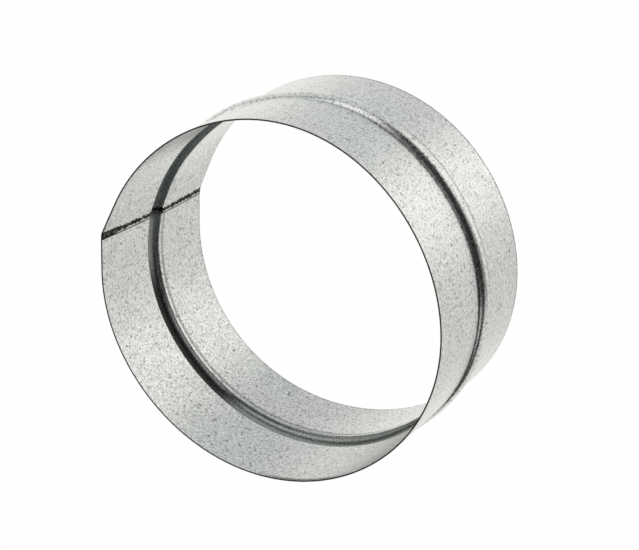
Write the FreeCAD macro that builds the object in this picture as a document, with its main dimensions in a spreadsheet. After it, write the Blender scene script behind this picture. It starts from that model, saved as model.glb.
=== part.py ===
import FreeCAD
import Part
import Sketcher

import math
import os

# Duct connector: a short sleeve that joins two round ducts, which slide over its two ends and stop
# at the bead. A strip of galvanised sheet is rolled into a ring, its two ends are lapped and pressed
# together by a seam weld, and the bead is rolled outwards at mid-length, across the weld as well.
#
# Millimetres. The sleeve stands on one rim, with the origin at the middle of that rim, +Z along the
# axis and the weld on the +Y side.

DRIVING_SIZES = {
    "outer_diameter": 124.0,  # spigots, outside: they slide into a duct of nominal 125
    "sleeve_length": 64.0,  # rim to rim
    "sheet_thickness": 0.5,
    "bead_height": 2.8,  # crest of the bead above the spigots
    "bead_width": 7.8,  # foot to foot, where the bead leaves the wall outside
    "seam_flat": 5.5,  # what the rolls leave straight at each end of the strip
    "weld_width": 2.8,  # lapped ends, pressed together under the weld
    "weld_step": 0.22,  # what the pressed lap adds to the sheet, on the inside
}

# A wall that is straight for the length of seam_flat turns from the round by this angle.
FLAT_ANGLE = "atan(2 * sizes.seam_flat / sizes.outer_diameter)"

doc = FreeCAD.newDocument("duct_connector")

sizes = doc.addObject("Spreadsheet::Sheet", "sizes")
for row, (alias, value) in enumerate(DRIVING_SIZES.items(), start=1):
    sizes.set(f"A{row}", alias)
    sizes.set(f"B{row}", str(value))
    sizes.setAlias(f"B{row}", alias)
doc.recompute()

sleeve = doc.addObject("PartDesign::Body", "connector_sleeve")
sleeve.Label = "connector_sleeve"


def origin_element(body, role):
    """The plane or axis of a body's own origin that has this role."""
    return next(item for item in body.Origin.OriginFeatures if item.Role == role)


seam_plane = origin_element(sleeve, "YZ_Plane")


def section_sketch(body, name, along_flat):
    """An empty sketch across the strip, where its round part goes over into the straight end.

    The sketch's x runs outwards and its y up the sleeve. along_flat is a formula for how far
    the sketch is moved from there along the straight end, towards the seam.
    """
    sketch = body.newObject("Sketcher::SketchObject", name)
    sketch.AttachmentSupport = [(seam_plane, "")]
    sketch.MapMode = "FlatFace"
    sketch.AttachmentOffset = FreeCAD.Placement(
        FreeCAD.Vector(0, 0, 0), FreeCAD.Rotation(FreeCAD.Vector(0, 1, 0), -1)
    )
    sketch.setExpression("AttachmentOffset.Rotation.Angle", f"-{FLAT_ANGLE}")
    sketch.setExpression("AttachmentOffset.Base.x", f"({along_flat}) * sin({FLAT_ANGLE})")
    sketch.setExpression("AttachmentOffset.Base.z", f"-({along_flat}) * cos({FLAT_ANGLE})")
    return sketch


def draw_strip_section(sketch, thickness, thickness_formula):
    """Draws the strip's section: two straight spigots and, between them, a round bead.

    Outside, the bead is one arc that leaves the wall at a sharp foot. Inside, the sheet bends round
    that foot at its own thickness. The outer face keeps its line whatever the thickness, which
    grows inwards.
    """
    radius = sizes.outer_diameter / 2
    length = sizes.sleeve_length
    rise = sizes.bead_height
    half = sizes.bead_width / 2
    middle = length / 2
    # The arc that rises this high over a chord of two halves
    crest_radius = (half**2 + rise**2) / (2 * rise)
    crest_centre = FreeCAD.Vector(radius + rise - crest_radius, middle, 0)
    lower_foot = FreeCAD.Vector(radius, middle - half, 0)
    upper_foot = FreeCAD.Vector(radius, middle + half, 0)
    slope = math.atan2(half, crest_radius - rise)

    def line(x_from, y_from, x_to, y_to):
        ends = FreeCAD.Vector(x_from, y_from, 0), FreeCAD.Vector(x_to, y_to, 0)
        return sketch.addGeometry(Part.LineSegment(*ends))

    def arc(centre, arc_radius, angle_from, angle_to):
        circle = Part.Circle(centre, FreeCAD.Vector(0, 0, 1), arc_radius)
        return sketch.addGeometry(Part.ArcOfCircle(circle, angle_from, angle_to))

    inside = radius - thickness
    outer_lower = line(radius, 0, radius, middle - half)
    outer_crest = arc(crest_centre, crest_radius, -slope, slope)
    outer_upper = line(radius, middle + half, radius, length)
    inner_lower = line(inside, 0, inside, middle - half)
    inner_lower_foot = arc(lower_foot, thickness, math.pi - slope, math.pi)
    inner_crest = arc(crest_centre, crest_radius - thickness, -slope, slope)
    inner_upper_foot = arc(upper_foot, thickness, math.pi, math.pi + slope)
    inner_upper = line(inside, middle + half, inside, length)
    upper_rim = line(radius, length, inside, length)
    lower_rim = line(inside, 0, radius, 0)
    bead_line = line(crest_centre.x, middle, radius + rise, middle)
    sketch.setConstruction(bead_line, True)

    start, end, centre = 1, 2, 3
    axis_point = (-1, start)

    def constrain(kind, *elements):
        return sketch.addConstraint(Sketcher.Constraint(kind, *elements))

    def dimension(kind, value, formula, *elements):
        number = constrain(kind, *elements, value)
        sketch.setExpression(f"Constraints[{number}]", formula)

    for wall in (outer_lower, outer_upper, inner_lower, inner_upper):
        constrain("Vertical", wall)
    for edge in (upper_rim, lower_rim, bead_line):
        constrain("Horizontal", edge)
    constrain("Coincident", outer_lower, end, outer_crest, start)
    constrain("Coincident", outer_crest, end, outer_upper, start)
    constrain("Coincident", outer_upper, end, upper_rim, start)
    constrain("Coincident", upper_rim, end, inner_upper, end)
    constrain("Coincident", inner_lower, start, lower_rim, start)
    constrain("Coincident", lower_rim, end, outer_lower, start)
    constrain("Tangent", inner_lower, end, inner_lower_foot, end)
    constrain("Tangent", inner_lower_foot, start, inner_crest, start)
    constrain("Tangent", inner_crest, end, inner_upper_foot, end)
    constrain("Tangent", inner_upper_foot, start, inner_upper, start)
    constrain("Coincident", inner_lower_foot, centre, outer_lower, end)
    constrain("Coincident", inner_upper_foot, centre, outer_upper, start)
    constrain("Coincident", inner_crest, centre, outer_crest, centre)
    constrain("Coincident", bead_line, start, outer_crest, centre)
    constrain("PointOnObject", bead_line, end, outer_crest)
    constrain("PointOnObject", outer_lower, start, -1)
    constrain("Vertical", outer_lower, start, outer_upper, end)
    constrain("Equal", outer_lower, outer_upper)

    dimension("DistanceX", radius, "sizes.outer_diameter / 2", *axis_point, outer_lower, start)
    dimension("DistanceY", length, "sizes.sleeve_length", *axis_point, outer_upper, end)
    dimension("DistanceX", thickness, thickness_formula, lower_rim, start, lower_rim, end)
    dimension("DistanceY", half * 2, "sizes.bead_width", outer_lower, end, outer_upper, start)
    dimension("DistanceX", rise, "sizes.bead_height", outer_lower, start, bead_line, end)


# The strip, rolled round from one straight end to the other
strip_section = section_sketch(sleeve, "strip_section", "0")
draw_strip_section(strip_section, sizes.sheet_thickness, "sizes.sheet_thickness")
doc.recompute()

rolled_strip = sleeve.newObject("PartDesign::Revolution", "rolled_strip")
rolled_strip.Profile = strip_section
rolled_strip.ReferenceAxis = (strip_section, ["V_Axis"])
rolled_strip.Reversed = True
rolled_strip.setExpression("Angle", f"360 deg - 2 * {FLAT_ANGLE}")
doc.recompute()

# One straight end, up to the seam
straight_end = sleeve.newObject("PartDesign::Pad", "straight_end")
straight_end.Profile = strip_section
straight_end.Type = "UpToFace"
straight_end.UpToFace = (seam_plane, [""])
straight_end.Reversed = True
doc.recompute()

# Half of the pressed lap, thicker than the sheet, up to the seam
lap_section = section_sketch(sleeve, "lap_section", "sizes.seam_flat - sizes.weld_width / 2")
draw_strip_section(
    lap_section,
    sizes.sheet_thickness + sizes.weld_step,
    "sizes.sheet_thickness + sizes.weld_step",
)
doc.recompute()

pressed_lap = sleeve.newObject("PartDesign::Pad", "pressed_lap")
pressed_lap.Profile = lap_section
pressed_lap.Type = "UpToFace"
pressed_lap.UpToFace = (seam_plane, [""])
pressed_lap.Reversed = True
doc.recompute()

# The other straight end and the other half of the lap
other_end = sleeve.newObject("PartDesign::Mirrored", "other_end")
other_end.Originals = [straight_end, pressed_lap]
other_end.MirrorPlane = (seam_plane, [""])
sleeve.Tip = other_end
doc.recompute()

for item in doc.Objects:
    if "Invalid" in item.State or "Error" in item.State:
        raise RuntimeError(f"{item.Label} failed: {item.State}")
if sleeve.Shape.isNull() or not sleeve.Shape.isValid():
    raise RuntimeError(f"{sleeve.Label} has no valid shape")
if len(sleeve.Shape.Solids) != 1:
    raise RuntimeError(f"{sleeve.Label} is {len(sleeve.Shape.Solids)} solids")

os.makedirs("parts", exist_ok=True)
sleeve.Shape.exportStep(f"parts/{sleeve.Label}.step")
print(f"{sleeve.Label}: {sleeve.Shape.Volume:.1f} mm3, {len(sleeve.Shape.Faces)} faces")
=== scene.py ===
import math

import bpy
import numpy as np
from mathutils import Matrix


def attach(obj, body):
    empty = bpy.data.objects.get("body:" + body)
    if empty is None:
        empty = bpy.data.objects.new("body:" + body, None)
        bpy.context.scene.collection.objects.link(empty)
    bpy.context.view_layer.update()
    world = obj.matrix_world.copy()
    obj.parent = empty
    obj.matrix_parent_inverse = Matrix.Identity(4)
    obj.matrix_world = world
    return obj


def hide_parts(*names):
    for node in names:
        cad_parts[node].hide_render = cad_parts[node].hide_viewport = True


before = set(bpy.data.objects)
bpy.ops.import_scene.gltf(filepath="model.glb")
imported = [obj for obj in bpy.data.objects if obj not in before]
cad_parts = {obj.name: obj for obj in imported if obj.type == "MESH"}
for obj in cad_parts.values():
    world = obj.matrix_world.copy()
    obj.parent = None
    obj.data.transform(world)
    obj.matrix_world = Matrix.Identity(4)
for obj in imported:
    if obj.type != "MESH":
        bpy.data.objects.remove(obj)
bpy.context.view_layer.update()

scene = bpy.context.scene
scene.view_settings.view_transform = "Standard"


# The camera: a long lens that looks down into the sleeve from the side away from the seam, turned
# a good way round its own line of sight.
camera_lens = bpy.data.cameras.new("camera")
camera_lens.sensor_fit = "HORIZONTAL"
camera_lens.sensor_width = 36.0
camera_lens.lens = 107.9
camera = bpy.data.objects.new("camera", camera_lens)
camera.location = (0.27387, -0.22407, 0.57319)
camera.rotation_euler = np.radians((-20.152, 26.623, -78.315))
scene.collection.objects.link(camera)
scene.camera = camera


# The sleeve: a strip of galvanised sheet steel rolled into a ring, with a bead rolled outwards near
# mid-length that stops the ducts pushed over its two ends. The rims are cut straight, and the ring
# has the slight lobes and the peak at the seam that rolling leaves.
mm = 0.001
wall_radius = 62.0 * mm
sleeve_length = 64.0 * mm
sheet = 0.5 * mm
bead_height = 2.3 * mm
bead_half_width = 3.8 * mm
bead_middle = 31.2 * mm
foot_radius = 0.15 * mm


def smooth_step(low, high, value):
    """0 below low, 1 above high, and between them the cubic that leaves and arrives level."""
    share = np.clip((value - low) / (high - low), 0, 1)
    return share**2 * (3 - 2 * share)


def strip_outline(crest_points, foot_points, wall_points):
    """The outer face of the strip's section: how far it stands out, its height and its lean.

    From the crest, an arc about a point inside the bead; then the foot, an arc about a point
    outside the wall; the two meet where both lean by twice the arctangent of the bead's height over
    its half width. Then the wall, straight up to the rim, in finer steps next to the bead. The lower
    half is the upper one upside down, and the bead sits a little below mid-length.
    """
    lean = 2 * math.atan2(bead_height, bead_half_width)
    crest_radius = bead_height / (1 - math.cos(lean)) - foot_radius
    crest = np.linspace(0, lean, crest_points)
    foot = np.linspace(lean, 0, foot_points)[1:]
    half = sleeve_length / 2
    fine_end = 7.4 * mm
    near_bead = np.linspace(bead_half_width, fine_end, 2 * wall_points)[1:]
    plain = np.linspace(fine_end, half, wall_points)[1:]
    wall = np.concatenate([near_bead, plain])
    out = np.concatenate([
        bead_height - crest_radius * (1 - np.cos(crest)),
        foot_radius * (1 - np.cos(foot)),
        np.zeros_like(wall),
    ])
    above = np.concatenate([
        crest_radius * np.sin(crest),
        bead_half_width - foot_radius * np.sin(foot),
        wall,
    ])
    leaning = np.concatenate([crest, foot, np.zeros_like(wall)])
    to_rim = smooth_step(0, half, above)
    lowered = (bead_middle - half) * (1 - np.concatenate([to_rim[:0:-1], to_rim]))
    return (
        np.concatenate([out[:0:-1], out]),
        np.concatenate([-above[:0:-1], above]) + half + lowered,
        np.concatenate([-leaning[:0:-1], leaning]),
    )


def seam_angle(height):
    """Where the seam stands: it drifts evenly, by 0.03 of a radian at the upper rim."""
    return -0.03 * height / sleeve_length


def stand_off(angle, height):
    """How far the wall stands outside the true circle, by the angle from the seam and the height.

    Near the seam the strip is straight, so it stands out by the radius times one over the cosine
    of the angle that is left of the straight part, less one. Round the rest it waves with one to
    four lobes. They differ at the two rims and at the two feet of the bead, where the rolling has
    drawn the ring a little oval, and go over evenly from one of these to the next.
    """
    share = height / sleeve_length
    from_bead = abs(2 * share - 1)
    straight = np.radians(6.0 + np.where(share > 0.5, 6.0, 5.0) * from_bead**1.5)
    turn = angle - seam_angle(height)
    to_seam = np.sqrt(np.arctan2(np.sin(turn), np.cos(turn)) ** 2 + 0.01**2)
    peak = wall_radius * (1 / np.cos(np.clip(straight - to_seam, 0, None)) - 1)
    lower_rim = (
        0.33 * np.cos(angle - 2.7)
        + 0.24 * np.cos(2 * angle - 0.4)
        + 0.31 * np.cos(3 * angle - 2.2)
        + 0.12 * np.cos(4 * angle + 1.6)
    )
    upper_rim = (
        0.13 * np.cos(angle + 1.5)
        + 0.21 * np.cos(2 * angle + 0.2)
        + 0.35 * np.cos(3 * angle - 1.2)
        + 0.22 * np.cos(4 * angle)
    )
    bead = (
        -0.21
        + 0.23 * np.cos(angle + 2.96)
        + 0.53 * np.cos(2 * angle - 0.99)
        + 0.45 * np.cos(3 * angle - 1.62)
        + 0.26 * np.cos(4 * angle - 0.33)
    )
    tilt = 0.22 + 0.37 * np.cos(2 * angle + 1.36)
    lower_foot = bead_middle - bead_half_width
    upper_foot = bead_middle + bead_half_width
    up_lower_wall = np.clip(height / lower_foot, 0, 1)
    over_bead = np.clip((height - lower_foot) / (upper_foot - lower_foot), 0, 1)
    up_upper_wall = np.clip((height - upper_foot) / (sleeve_length - upper_foot), 0, 1)
    lobes = (
        lower_rim
        + (bead - tilt - lower_rim) * up_lower_wall
        + 2 * tilt * over_bead
        + (upper_rim - bead - tilt) * up_upper_wall
    )
    return peak + lobes * mm


def round_the_axis(angle, out, height):
    """Points of the sleeve by the angle from the seam, the distance out from the wall and height.

    The wall's own radius, its stand-off and the distance out make the radius. Over the bead the
    distance out is cut back where two knocks have flattened it, by a bell curve of the angle each,
    and where the wall stands off most, so that its crest keeps one radius.
    """
    turn = np.arctan2(np.sin(angle), np.cos(angle))
    middle = stand_off(angle, bead_middle)
    room = 2.7 * mm + 0.25 * mm * np.exp(-((turn / 0.1) ** 2))
    first_knock = 0.4 * np.exp(-(((turn + 1.25) / 0.3) ** 2))
    second_knock = 0.36 * np.exp(-(((turn - 2.55) / 0.3) ** 2))
    keep = np.minimum(1 - (first_knock + second_knock), (room - middle) / bead_height)
    radius = wall_radius + stand_off(angle, height) + np.where(out > 0, out * keep, out)
    return np.stack([-radius * np.sin(angle), radius * np.cos(angle), height + 0 * radius], axis=-1)


def grid_mesh(name, points, sheet_map, closed):
    """A mesh of four-sided faces on a grid of points, with a map of two lengths on its corners.

    Rows run along the first index and always close on themselves, columns close if closed is set.
    """
    rows, columns = points.shape[:2]
    strips = columns if closed else columns - 1
    row, column = np.meshgrid(np.arange(rows), np.arange(strips), indexing="ij")
    next_row = (row + 1) % rows
    next_column = (column + 1) % columns
    corners = np.stack([
        row * columns + column,
        row * columns + next_column,
        next_row * columns + next_column,
        next_row * columns + column,
    ], axis=-1).reshape(-1, 4)
    mesh = bpy.data.meshes.new(name)
    mesh.from_pydata(points.reshape(-1, 3), [], corners)
    along, across = sheet_map
    flat = np.stack([
        np.stack([along[column], across[row]], axis=-1),
        np.stack([along[column + 1], across[row]], axis=-1),
        np.stack([along[column + 1], across[row + 1]], axis=-1),
        np.stack([along[column], across[row + 1]], axis=-1),
    ], axis=-2)
    mesh.uv_layers.new(name="sheet").uv.foreach_set("vector", flat.ravel())
    mesh.shade_smooth()
    mesh.set_sharp_from_angle(angle=math.radians(50))
    return mesh


# The strip's section runs up its outer face and down its inner one, and is finely divided round the
# ring next to the seam.
outline_out, outline_height, outline_lean = strip_outline(
    crest_points=16, foot_points=6, wall_points=10
)
inner_out = outline_out - sheet * np.cos(outline_lean)
inner_height = outline_height - sheet * np.sin(outline_lean)
section_out = np.concatenate([outline_out, inner_out[::-1]])
section_height = np.concatenate([outline_height, inner_height[::-1]])
steps_out = np.diff(section_out, append=section_out[0])
steps_up = np.diff(section_height, append=section_height[0])
section_map = np.concatenate([[0], np.cumsum(np.hypot(steps_out, steps_up))])
fine_angle = 0.2
by_seam = np.linspace(-fine_angle, fine_angle, 81)
round_rest = np.linspace(fine_angle, 2 * np.pi - fine_angle, 421)[1:-1]
angles = np.concatenate([by_seam, round_rest])
round_map = np.append(angles, 2 * np.pi - fine_angle) * wall_radius
sleeve_points = round_the_axis(angles[None, :], section_out[:, None], section_height[:, None])
sleeve = bpy.data.objects.new(
    "sleeve", grid_mesh("sleeve", sleeve_points, (round_map, section_map), closed=True)
)
scene.collection.objects.link(sleeve)


class Shade:
    """A socket of a shader tree, so that arithmetic on sockets reads as plain arithmetic.

    Each operator adds the Math node of its name. make() adds any other node: its type, then its
    settings, then the numbers, colours or links of its sockets, and gives the output asked for.
    """

    def __init__(self, tree, socket=None):
        self.tree = tree
        self.socket = socket

    def make(self, kind, settings, sockets, output=0):
        node = self.tree.nodes.new(kind)
        for name, value in settings.items():
            setattr(node, name, value)
        for name, value in sockets.items():
            if isinstance(value, Shade):
                self.tree.links.new(value.socket, node.inputs[name])
            else:
                node.inputs[name].default_value = value
        return Shade(self.tree, node.outputs[output])

    def maths(self, operation, first, second):
        return self.make("ShaderNodeMath", {"operation": operation}, {0: first, 1: second})

    def __add__(self, other):
        return self.maths("ADD", self, other)

    def __radd__(self, other):
        return self.maths("ADD", other, self)

    def __sub__(self, other):
        return self.maths("SUBTRACT", self, other)

    def __rsub__(self, other):
        return self.maths("SUBTRACT", other, self)

    def __mul__(self, other):
        return self.maths("MULTIPLY", self, other)

    def __rmul__(self, other):
        return self.maths("MULTIPLY", other, self)

    def away_from(self, other):
        """How far this is from another value, to either side of it."""
        return self.maths("ABSOLUTE", self - other, 0)

    def rise(self, low, high):
        """0 below low, 1 above high and a smooth rise between them."""
        return self.make(
            "ShaderNodeMapRange",
            {"interpolation_type": "SMOOTHSTEP"},
            {"Value": self, "From Min": low, "From Max": high},
        )

    def within(self, low, first, last, high):
        """0 below low and above high, 1 from first to last, and smooth between these."""
        return self.rise(low, first) * (1 - self.rise(last, high))

    def blend(self, first, second):
        """The first colour where this is 0, the second where it is 1."""
        return self.make(
            "ShaderNodeMix", {"data_type": "RGBA"}, {0: self, 6: first, 7: second}, output=2
        )

    def tint(self, colour):
        """A colour times this value."""
        return self.make(
            "ShaderNodeVectorMath", {"operation": "SCALE"}, {0: colour, "Scale": self}
        )


zinc = bpy.data.materials.new("galvanised_zinc")
zinc.use_nodes = True
tree = zinc.node_tree
sheet_shader = tree.nodes["Principled BSDF"]
sheet_shader.inputs["Specular IOR Level"].default_value = 0.2
node = Shade(tree)
place = node.make("ShaderNodeTexCoord", {}, {}, output="Object")
height = node.make("ShaderNodeSeparateXYZ", {}, {0: place}, output="Z")


def speckle(scale, detail, rough):
    """Even noise from 0 to 1 with this many lumps to the metre."""
    sockets = {"Vector": place, "Scale": scale, "Detail": detail, "Roughness": rough}
    return node.make("ShaderNodeTexNoise", {}, sockets)


# The zinc's mottling: broad patches from cool to warm, fine grain and darker specks
patches = speckle(scale=45.0, detail=2.0, rough=0.5)
tone = speckle(scale=160.0, detail=3.0, rough=0.6)
grain = speckle(scale=1250.0, detail=2.0, rough=0.6)
dust = speckle(scale=800.0, detail=1.0, rough=0.5)
colour = patches.rise(0.35, 0.65).blend((0.838, 0.868, 0.846, 1), (0.864, 0.860, 0.868, 1))
brightness = -0.08 + 0.20 * tone + 2.0 * grain - 0.45 * dust.rise(0.60, 0.72)

# Where on the sheet: the length round it from the seam, also as an angle, and the length along its
# section from the lower rim, up the outside and down the inside
on_sheet = node.make("ShaderNodeUVMap", {"uv_map": "sheet"}, {})
around = node.make("ShaderNodeSeparateXYZ", {}, {0: on_sheet}, output="X")
run = node.make("ShaderNodeSeparateXYZ", {}, {0: on_sheet}, output="Y")
angle = around * (1 / wall_radius)
inside = run.rise(64.5 * mm, 66.5 * mm)
outside = 1 - inside

# Thin dark lines below the bead, inside and out, and along the lower rim a painted contact shadow
# where the sleeve stands on the floor
line_height = bead_middle - 5.3 * mm
inner_line = 1 - height.away_from(line_height).rise(0.3 * mm, 1.2 * mm)
stronger = around.rise(0, 0.5 * mm) * (1 - angle.rise(2.4, 2.8))
from_darkest = angle.away_from(3.25)
drift = 1.1 * mm * (1 - from_darkest.rise(0.05, 0.5))
outer_line = 1 - (height + drift).away_from(line_height).rise(0.3 * mm, 0.9 * mm)
# Painted contact shadow: the lower rim darkened where it meets the floor
rim_contact_shadow = 1 - height.rise(0.45 * mm, 1.0 * mm)
marks_and_painted_light = inside * (0.15 + 0.33 * stronger) * inner_line
marks_and_painted_light = marks_and_painted_light + 0.5 * outside * outer_line
marks_and_painted_light = marks_and_painted_light + (0.55 - 0.30 * inside) * rim_contact_shadow

# Two painted dark reflections inside the upper end, a darker stretch inside its rim, and painted shade
# over the bead's crest
upper_end = inside * height.rise(bead_middle + 3.0 * mm, bead_middle + 4.5 * mm)
# Painted dark reflections on the inner wall of the upper end
painted_dark_reflection = 0.5 * angle.within(1.95, 2.5, 2.6, 3.2)
towards_bead = 1 - height.rise(40 * mm, 54 * mm)
other_painted_dark_reflection = (0.46 + 0.4 * towards_bead) * angle.within(5.0, 5.4, 5.55, 5.85)
marks_and_painted_light = marks_and_painted_light + upper_end * (painted_dark_reflection + other_painted_dark_reflection)
# A darker stretch of the inner wall just below the upper rim
dark_rim_stretch = height.rise(62.2 * mm, 62.9 * mm) * (1 - angle.away_from(2.0).rise(0.12, 0.35))
marks_and_painted_light = marks_and_painted_light + 0.65 * inside * dark_rim_stretch
# Painted shade over the bead's crest, widening the shaded band of its near face
over_crest = height.within(32.1 * mm, 32.7 * mm, 33.5 * mm, 34.5 * mm)
marks_and_painted_light = marks_and_painted_light + 0.6 * outside * over_crest * angle.within(3.25, 3.5, 3.7, 4.0)

# Brighter places: two painted highlights on the outside, and the inside lighter next to the seam
painted_highlights = 0.12 * angle.within(4.8, 5.2, 5.7, 6.0) + 0.08 * angle.within(2.4, 2.7, 2.9, 3.1)
marks_and_painted_light = marks_and_painted_light - outside * painted_highlights
next_to_seam = around.rise(0, 2 * mm) * (1 - angle.rise(0.3, 0.9))
marks_and_painted_light = marks_and_painted_light - 0.14 * inside * next_to_seam

# Dirt and painted shade in the two corners outside where the bead leaves the wall
off_corners = 1
for foot in np.flatnonzero(np.diff(outline_out == 0)):
    from_foot = run.away_from(float(section_map[foot]))
    off_corners = from_foot.rise(0.15 * mm, 0.7 * mm) * off_corners
corner_dirt_and_shade = 0.4 + 0.4 * (1 - from_darkest.rise(0.1, 0.35))
corner_dirt_and_shade = corner_dirt_and_shade * angle.away_from(5.25).rise(0.3, 0.6)
# The inside is a little darker all over: painted shade within the sleeve
brightness = brightness * (1 - marks_and_painted_light) * (1 - 0.12 * inside) * (1 - corner_dirt_and_shade * (1 - off_corners))

# Painted shade in the bead's hollow, a dull dark band: black and narrower on the first stretch past
# the seam, grey on the rest, with a painted light stretch in its depth right next to the seam
groove_middle = float(section_map[len(outline_out) + len(outline_out) // 2])
past_seam = around.rise(3 * mm, 22 * mm)
later = angle.rise(1.1, 1.35)
near_seam = angle.rise(4.4, 5.2) + 1 - past_seam
wide = 1 - around.rise(0, 26 * mm) * (1 - later)
wider = angle.rise(5.3, 5.6) * (1 - 1.4 * angle.rise(5.75, 5.95))
reach = 1.2 * mm * wide + 0.5 * mm * later + 0.9 * mm * wider
groove_shade = 0.97 * (1 - (run.away_from(groove_middle) - reach).rise(2.3 * mm, 3.5 * mm))
black_groove_shade = past_seam * (1 - later)
groove_shade_colour = angle.rise(1.6, 2.2).blend((0.42, 0.45, 0.425, 1), (0.24, 0.26, 0.245, 1))
groove_shade_colour = near_seam.blend(groove_shade_colour, (0.36, 0.40, 0.385, 1))
groove_shade_colour = black_groove_shade.blend(groove_shade_colour, (0.045, 0.046, 0.042, 1))
depth = height.rise(bead_middle - 2.4 * mm, bead_middle - 1.2 * mm)
groove_painted_light = depth * around.within(1 * mm, 4 * mm, 14 * mm, 30 * mm)
groove_shade_colour = groove_painted_light.blend(groove_shade_colour, (0.93, 0.95, 0.93, 1))

# The cut edges at the two rims are dull and dark
half_length = sleeve_length / 2
rim = height.away_from(half_length).rise(half_length - 0.12 * mm, half_length - 0.02 * mm)
colour = groove_shade.blend(brightness.tint(colour), (0.5 + grain).tint(groove_shade_colour))
colour = rim.blend(colour, (0.2, 0.2, 0.2, 1))
tree.links.new(colour.socket, sheet_shader.inputs["Base Color"])
bare_metal = (1 - groove_shade * (0.3 + 0.65 * (black_groove_shade + near_seam))) * (1 - 0.6 * rim)
tree.links.new(bare_metal.socket, sheet_shader.inputs["Metallic"])
gloss = 0.20 + 0.14 * grain
tree.links.new(gloss.socket, sheet_shader.inputs["Roughness"])
relief = node.make(
    "ShaderNodeBump",
    {},
    {"Height": grain + 0.6 * dust, "Strength": 0.35, "Distance": 0.05 * mm},
)
tree.links.new(relief.socket, sheet_shader.inputs["Normal"])
sleeve.data.materials.append(zinc)
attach(sleeve, "root")
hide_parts("connector_sleeve")


# The seam weld: the strip's two ends, lapped and pressed together under the rollers of the welder.
# A low band with a burnt line along it and the edge of the inner sheet beside that, rim to rim.
weld_step = 0.20 * mm


def weld_band(points_across):
    """Points of the weld by the place along the strip's section and across it, and the latter.

    The strip's own section, moved out from its two faces by the step: all of it on the inside, a
    fifth on the outside. Across, the step rises gently from the burnt side and falls sharply at the
    edge of the sheet, with rounded ripples that follow one another along the seam.
    """
    across = np.linspace(-1.2 * mm, 2.1 * mm, points_across)
    gentle_side = smooth_step(-1.1 * mm, -0.4 * mm, across)
    sharp_side = 1 - smooth_step(1.7 * mm, 1.9 * mm, across)
    swell = gentle_side * sharp_side
    run = section_map[:-1, None]
    ripple = 0.5 + 0.5 * np.cos(2 * np.pi * (run / (2.4 * mm) - (across / (1.6 * mm)) ** 2))
    face = np.concatenate([np.full(len(outline_out), 0.2), np.full(len(outline_out), -1.0)])
    lean = np.concatenate([outline_lean, outline_lean[::-1]])
    step = weld_step * (swell * (0.8 + 0.2 * ripple) - 0.1) * face[:, None]
    out = section_out[:, None] + step * np.cos(lean)[:, None]
    height = section_height[:, None] + step * np.sin(lean)[:, None]
    height = np.clip(height, 0.03 * mm, sleeve_length - 0.03 * mm)
    return round_the_axis(seam_angle(height) + across[None, :] / wall_radius, out, height), across


weld_points, across_weld = weld_band(points_across=34)
weld = bpy.data.objects.new(
    "seam_weld", grid_mesh("seam_weld", weld_points, (across_weld, section_map), closed=False)
)
scene.collection.objects.link(weld)

burnt = bpy.data.materials.new("burnt_zinc")
burnt.use_nodes = True
tree = burnt.node_tree
weld_shader = tree.nodes["Principled BSDF"]
weld_shader.inputs["Specular IOR Level"].default_value = 0.2
node = Shade(tree)
place = node.make("ShaderNodeTexCoord", {}, {}, output="Object")
height = node.make("ShaderNodeSeparateXYZ", {}, {0: place}, output="Z")
on_band = node.make("ShaderNodeUVMap", {"uv_map": "sheet"}, {})
side = node.make("ShaderNodeSeparateXYZ", {}, {0: on_band}, output="X")
run = node.make("ShaderNodeSeparateXYZ", {}, {0: on_band}, output="Y")
grain = speckle(scale=1250.0, detail=2.0, rough=0.6)
waver = speckle(scale=420.0, detail=2.0, rough=0.6)

# The burnt line: a row of weld nuggets of uneven width, widest at the upper rim, with paler blotches
near_rim = height.rise(50 * mm, 64 * mm)
nugget = node.maths("COSINE", height * (2 * math.pi / (2.3 * mm)) + 9.0 * waver, 0)
half_line = 0.15 * mm + 1.2 * mm * waver + 0.14 * mm * nugget + 0.75 * mm * near_rim
from_line = node.maths("DIVIDE", side.away_from(0.25 * mm * near_rim), half_line)
blotch = speckle(scale=650.0, detail=1.0, rough=0.5).rise(0.50, 0.68) * (1 - 0.6 * near_rim)
line = (1 - from_line.rise(0.8, 1.3)) * (1.6 - 0.8 * grain) * (1 - 0.45 * blotch)
kernel = near_rim * (1 - from_line.rise(0.25, 0.75)) * nugget.rise(-0.6, 0.6)

# Painted shade where the weld crosses the bead's hollow, and the dark edge of the inner sheet
groove_shade = 0.95 * (1 - run.away_from(groove_middle).rise(2.6 * mm, 4.0 * mm))
edge = 1 - side.away_from(1.45 * mm).rise(0.12 * mm, 0.42 * mm)
bare = groove_shade.blend((0.02 + 2.0 * grain).tint((0.78, 0.78, 0.765)), (0.26, 0.27, 0.25, 1))
colour = (edge * (0.5 + 0.8 * waver)).blend(bare, (0.10, 0.10, 0.095, 1))
colour = (line * (1 - 0.25 * groove_shade)).blend(colour, (0.022, 0.021, 0.018, 1))
colour = (0.55 * kernel).blend(colour, (0.32, 0.32, 0.30, 1))
tree.links.new(colour.socket, weld_shader.inputs["Base Color"])
tree.links.new((0.34 + 0.2 * line).socket, weld_shader.inputs["Roughness"])
tree.links.new((1 - groove_shade).socket, weld_shader.inputs["Metallic"])
weld.data.materials.append(burnt)
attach(weld, "root")


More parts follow.
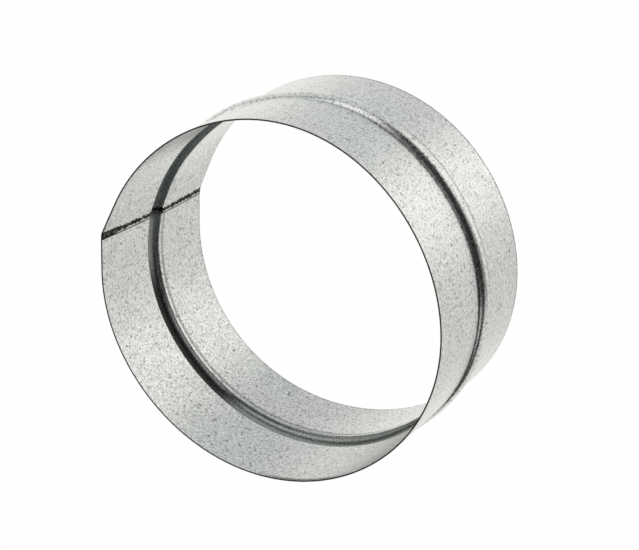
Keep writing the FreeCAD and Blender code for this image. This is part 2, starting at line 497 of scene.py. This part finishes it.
# The floor: a wide sheet of white paper that the sleeve stands on. It is white to the eye and throws
# light back up, but it is clear in the metal, which shows the lower half of the room instead.
floor_mesh = bpy.data.meshes.new("floor")
floor_mesh.from_pydata([(-9, -9, 0), (9, -9, 0), (9, 9, 0), (-9, 9, 0)], [], [(0, 1, 2, 3)])
floor = bpy.data.objects.new("floor", floor_mesh)
scene.collection.objects.link(floor)
paper = bpy.data.materials.new("white_paper")
paper.use_nodes = True
tree = paper.node_tree
lit_paper = tree.nodes["Principled BSDF"]
lit_paper.inputs["Base Color"].default_value = (0.9, 0.9, 0.9, 1)
lit_paper.inputs["Roughness"].default_value = 1.0
node = Shade(tree)
camera_ray = node.make("ShaderNodeLightPath", {}, {}, output="Is Camera Ray")
mirror_ray = node.make("ShaderNodeLightPath", {}, {}, output="Is Glossy Ray")
through_ray = node.make("ShaderNodeLightPath", {}, {}, output="Is Transmission Ray")
glow = node.make("ShaderNodeEmission", {}, {"Color": (1, 1, 1, 1), "Strength": 1.0})
white = node.make(
    "ShaderNodeMixShader",
    {},
    {0: 0.995 * (camera_ray + through_ray), 1: Shade(tree, lit_paper.outputs[0]), 2: glow},
)
clear = node.make("ShaderNodeBsdfTransparent", {}, {})
paper_shade = node.make("ShaderNodeMixShader", {}, {0: mirror_ray, 1: white, 2: clear})
tree.links.new(paper_shade.socket, tree.nodes["Material Output"].inputs["Surface"])
floor.data.materials.append(paper)


# The light: a dim room whose lower half shows white in the metal, brightest on one side, nearly so on
# the opposite one and duller between them, with soft lamps round the sleeve and above it.
world = bpy.data.worlds.new("room")
world.use_nodes = True
scene.world = world
tree = world.node_tree
node = Shade(tree)
way = node.make("ShaderNodeTexCoord", {}, {}, output="Generated")
up = node.make("ShaderNodeSeparateXYZ", {}, {0: way}, output="Z")
mirror_ray = node.make("ShaderNodeLightPath", {}, {}, output="Is Glossy Ray")
dot_product = {"operation": "DOT_PRODUCT"}
ahead = node.make("ShaderNodeVectorMath", dot_product, {0: way, 1: (0.777, -0.629, 0)}, output="Value")
aside = node.make("ShaderNodeVectorMath", dot_product, {0: way, 1: (0.629, 0.777, 0)}, output="Value")
turn = node.maths("ARCTAN2", aside, ahead)
from_front = turn.away_from(-0.10)
bright = 1 - from_front.rise(0.05, 0.95)
dull = 1 - turn.away_from(1.0).rise(0.2, 0.8)
behind = from_front.rise(1.5, 2.8)
level = 0.66 + 0.34 * bright - 0.03 * dull + 0.30 * behind
below = 1 - up.rise(-0.14, 0.02)
shown = mirror_ray * below * level
cool = 1 - turn.away_from(1.15).rise(0.2, 0.8)
white = cool.blend((1.0, 0.993, 0.957, 1), (0.97, 0.99, 1.0, 1))
room_colour = shown.blend((0.025, 0.025, 0.025, 1), white)
room = tree.nodes["Background"]
room.inputs["Strength"].default_value = 1.0
tree.links.new(room_colour.socket, room.inputs["Color"])


def soft_lamp(name, side, rise, width, height, brightness):
    """A lamp with an even face towards the sleeve's middle, by its compass side and its rise."""
    lamp = bpy.data.lights.new(name, "AREA")
    lamp.shape = "RECTANGLE"
    lamp.size = width
    lamp.size_y = height
    lamp.energy = brightness * math.pi * width * height
    stand = bpy.data.objects.new(name, lamp)
    side, rise = math.radians(side), math.radians(rise)
    distance = 1.1
    stand.location = (
        distance * math.cos(rise) * math.cos(side),
        distance * math.cos(rise) * math.sin(side),
        distance * math.sin(rise) + sleeve_length / 2,
    )
    stand.rotation_euler = (math.pi / 2 - rise, 0, math.pi / 2 + side)
    scene.collection.objects.link(stand)


soft_lamp("key_lamp", side=16, rise=24, width=0.64, height=0.85, brightness=0.95)
soft_lamp("side_lamp", side=61, rise=26, width=0.9, height=0.8, brightness=1.1)
soft_lamp("far_lamp", side=-172, rise=20, width=0.8, height=0.8, brightness=1.0)
soft_lamp("top_lamp", side=-39, rise=60, width=0.7, height=0.35, brightness=0.35)
soft_lamp("fill_lamp", side=-110, rise=29, width=0.36, height=0.24, brightness=0.8)
